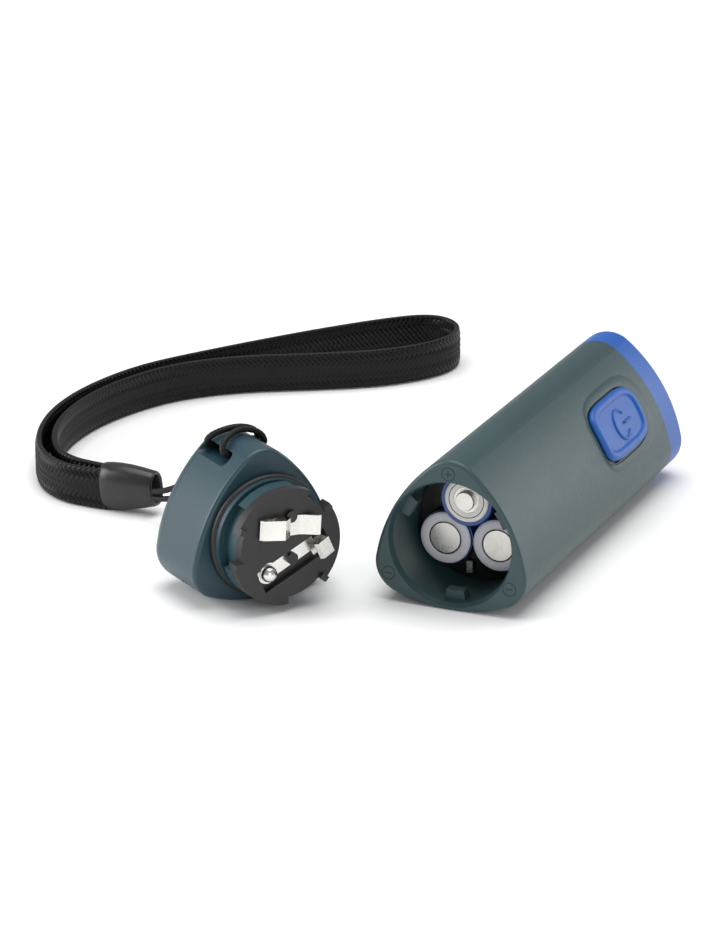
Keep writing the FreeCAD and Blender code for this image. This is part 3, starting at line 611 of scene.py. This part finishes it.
def make_power_sign():
    """A generic on-off sign, raised on the button's panel: an open ring and a bar."""
    ring = []
    for k in range(SIGN_STEPS + 1):
        angle = math.radians(SIGN_OPENING + k * (360 - 2 * SIGN_OPENING) / SIGN_STEPS)
        ring.append((SIGN_STATION + SIGN_RADIUS * math.cos(angle),
                     SIGN_ACROSS + SIGN_RADIUS * math.sin(angle)))
    raised_line("power_sign_ring", ring)
    raised_line("power_sign_bar", [(station, SIGN_ACROSS) for station in SIGN_BAR])


def make_button_surround():
    """A shallow raised field round the button, that fades into the side."""
    rings = [side_oval(station, SURROUND_ACROSS, along, across, blunt, proud)
             for along, across, blunt, station, proud in SURROUND_STEPS]
    field = skin("button_surround", rings, look("teal_shell"), ends=False)
    settle(field, "torch", "teal_shell")


# ---------------------------------------------------------------- the mouth and the cells
# (x, height above the axis, whether it is a plus) of each mark on the mouth's face
POLARITY_MARKS = ((-0.43, 13.98, True), (-12.32, -7.33, False), (11.99, -6.94, False))
MARK_BACK, MARK_FRONT = 0.05, -0.03
MARK_INNER, MARK_OUTER = 1.2, 1.36
BAR_LONG, BAR_THIN = 0.7, 0.08
MARK_AROUND = 40
# (radius, along) from each cell's end, or from its shoulder on the upper cell
WASHER_PROFILE = [(2.5, 0.1), (2.5, -0.12), (2.6, -0.18), (4.2, -0.18), (4.35, -0.1), (4.4, 0.1)]
# A thin black ring on the washer's face: painted shade for a groove.
WASHER_GROOVE_SHADE = [(3.42, -0.1), (3.42, -0.195), (3.58, -0.195), (3.58, -0.1)]
RIM_PROFILE = [(3.25, 0.3), (3.25, -0.02), (3.4, -0.12), (4.7, -0.12), (5.05, 0.05), (5.2, 0.4),
               (5.27, 0.8)]
# A thin black band inside the film's rim: painted shade for the groove.
RIM_GROOVE_SHADE = [(3.26, 0.3), (3.26, -0.03), (3.0, -0.03), (2.98, 0.3)]


def make_mark_bar(name, axes, wide, high, dark):
    corners = ((-1, -1), (1, -1), (1, 1), (-1, 1))
    rings = [[axes @ (Vector((x * wide, along, z * high)) * MM) for x, z in corners]
             for along in (MARK_BACK, MARK_FRONT)]
    settle(skin(name, rings, dark), "torch", "teal_shell")


def make_polarity_marks():
    """Thin engraved circles with a plus or a minus beside each cell, drawn as thin near-black pieces: painted
    shade for the engraved grooves.
    """
    dark = painted_engraving_shade()
    profile = [(MARK_INNER, MARK_BACK), (MARK_INNER, MARK_FRONT), (MARK_OUTER, MARK_FRONT),
               (MARK_OUTER, MARK_BACK)]
    for number, (x, z, plus) in enumerate(POLARITY_MARKS, start=1):
        axes = Matrix.Translation(MOUTH + Vector((x, 0, z)) * MM)
        ring = lathe(f"polarity_ring_{number}", axes, profile, dark, MARK_AROUND)
        settle(ring, "torch", "teal_shell")
        make_mark_bar(f"polarity_bar_{number}_1", axes, BAR_LONG, BAR_THIN, dark)
        if plus:
            make_mark_bar(f"polarity_bar_{number}_2", axes, BAR_THIN, BAR_LONG, dark)


def make_upper_cell_end():
    """A washer round the nub of the upper cell, with a thin black ring on its face: painted shade for a groove."""
    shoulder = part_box("cell_1_sleeve")[0].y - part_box("cell_1_can")[0].y
    axes = cell_frame("cell_1_can") @ Matrix.Translation((0, shoulder, 0))
    washer = lathe("cell_washer_1", axes, WASHER_PROFILE, cell_ring())
    settle(washer, "cell_1", "cell_wrap")
    groove = lathe("cell_groove_shade_1", axes, WASHER_GROOVE_SHADE, look("black_plastic"))
    settle(groove, "cell_1", "black_plastic")


def make_lower_cell_ends():
    """The rolled edge of the film on the two lower cells, with a thin black band inside it: painted shade for the
    groove.
    """
    pale = cell_rim()
    for number in (2, 3):
        axes = cell_frame(f"cell_{number}_can")
        rim = lathe(f"cell_rim_{number}", axes, RIM_PROFILE, pale)
        settle(rim, f"cell_{number}", "cell_wrap")
        groove = lathe(f"cell_groove_shade_{number}", axes, RIM_GROOVE_SHADE, look("black_plastic"))
        settle(groove, f"cell_{number}", "black_plastic")


# ---------------------------------------------------------------- the studio
FLOOR_HALF, FLOOR_DROP = 20, 0.0002  # metres
WORLD_STRENGTH = 0.36
# name, place and the point it faces in metres, power in watts, and size in metres
LIGHTS = (
    ("overhead", (0.0, 0.1, 1.1), (0, 0, 0), 12.5, 1.1),
    ("right_back", (0.75, 1.05, 0.32), (0, 0, 0.01), 3.4, 0.7),
    ("left", laid(-950, 40, 380), (0, 0, 0.01), 7.0, 0.6),
    ("front", laid(250, -900, 260), (0, 0, 0.01), 1.6, 0.5),
)


def make_floor():
    corners = [(x * FLOOR_HALF, y * FLOOR_HALF, 0) for x, y in ((-1, -1), (1, -1), (1, 1), (-1, 1))]
    mesh = bpy.data.meshes.new("floor")
    mesh.from_pydata(corners, [], [(0, 1, 2, 3)])
    floor = finish_mesh("floor", mesh, floor_paint())
    floor.location.z = -FLOOR_DROP


def make_light(name, place, aim, power, size):
    data = bpy.data.lights.new(name, "AREA")
    data.energy = power
    data.size = size
    lamp = bpy.data.objects.new(name, data)
    lamp.location = place
    lamp.rotation_euler = (Vector(aim) - Vector(place)).to_track_quat("-Z", "Y").to_euler()
    bpy.context.scene.collection.objects.link(lamp)


def make_studio():
    world = bpy.data.worlds.new("studio")
    world.use_nodes = True
    backdrop = world.node_tree.nodes["Background"]
    backdrop.inputs["Color"].default_value = (1, 1, 1, 1)
    backdrop.inputs["Strength"].default_value = WORLD_STRENGTH
    bpy.context.scene.world = world
    for light in LIGHTS:
        make_light(*light)
    bpy.context.scene.view_settings.view_transform = "Standard"


make_camera()
declare_cords()
dress_cad()
make_button()
make_power_sign()
make_button_surround()
make_polarity_marks()
make_upper_cell_end()
make_lower_cell_ends()
make_floor()
make_studio()
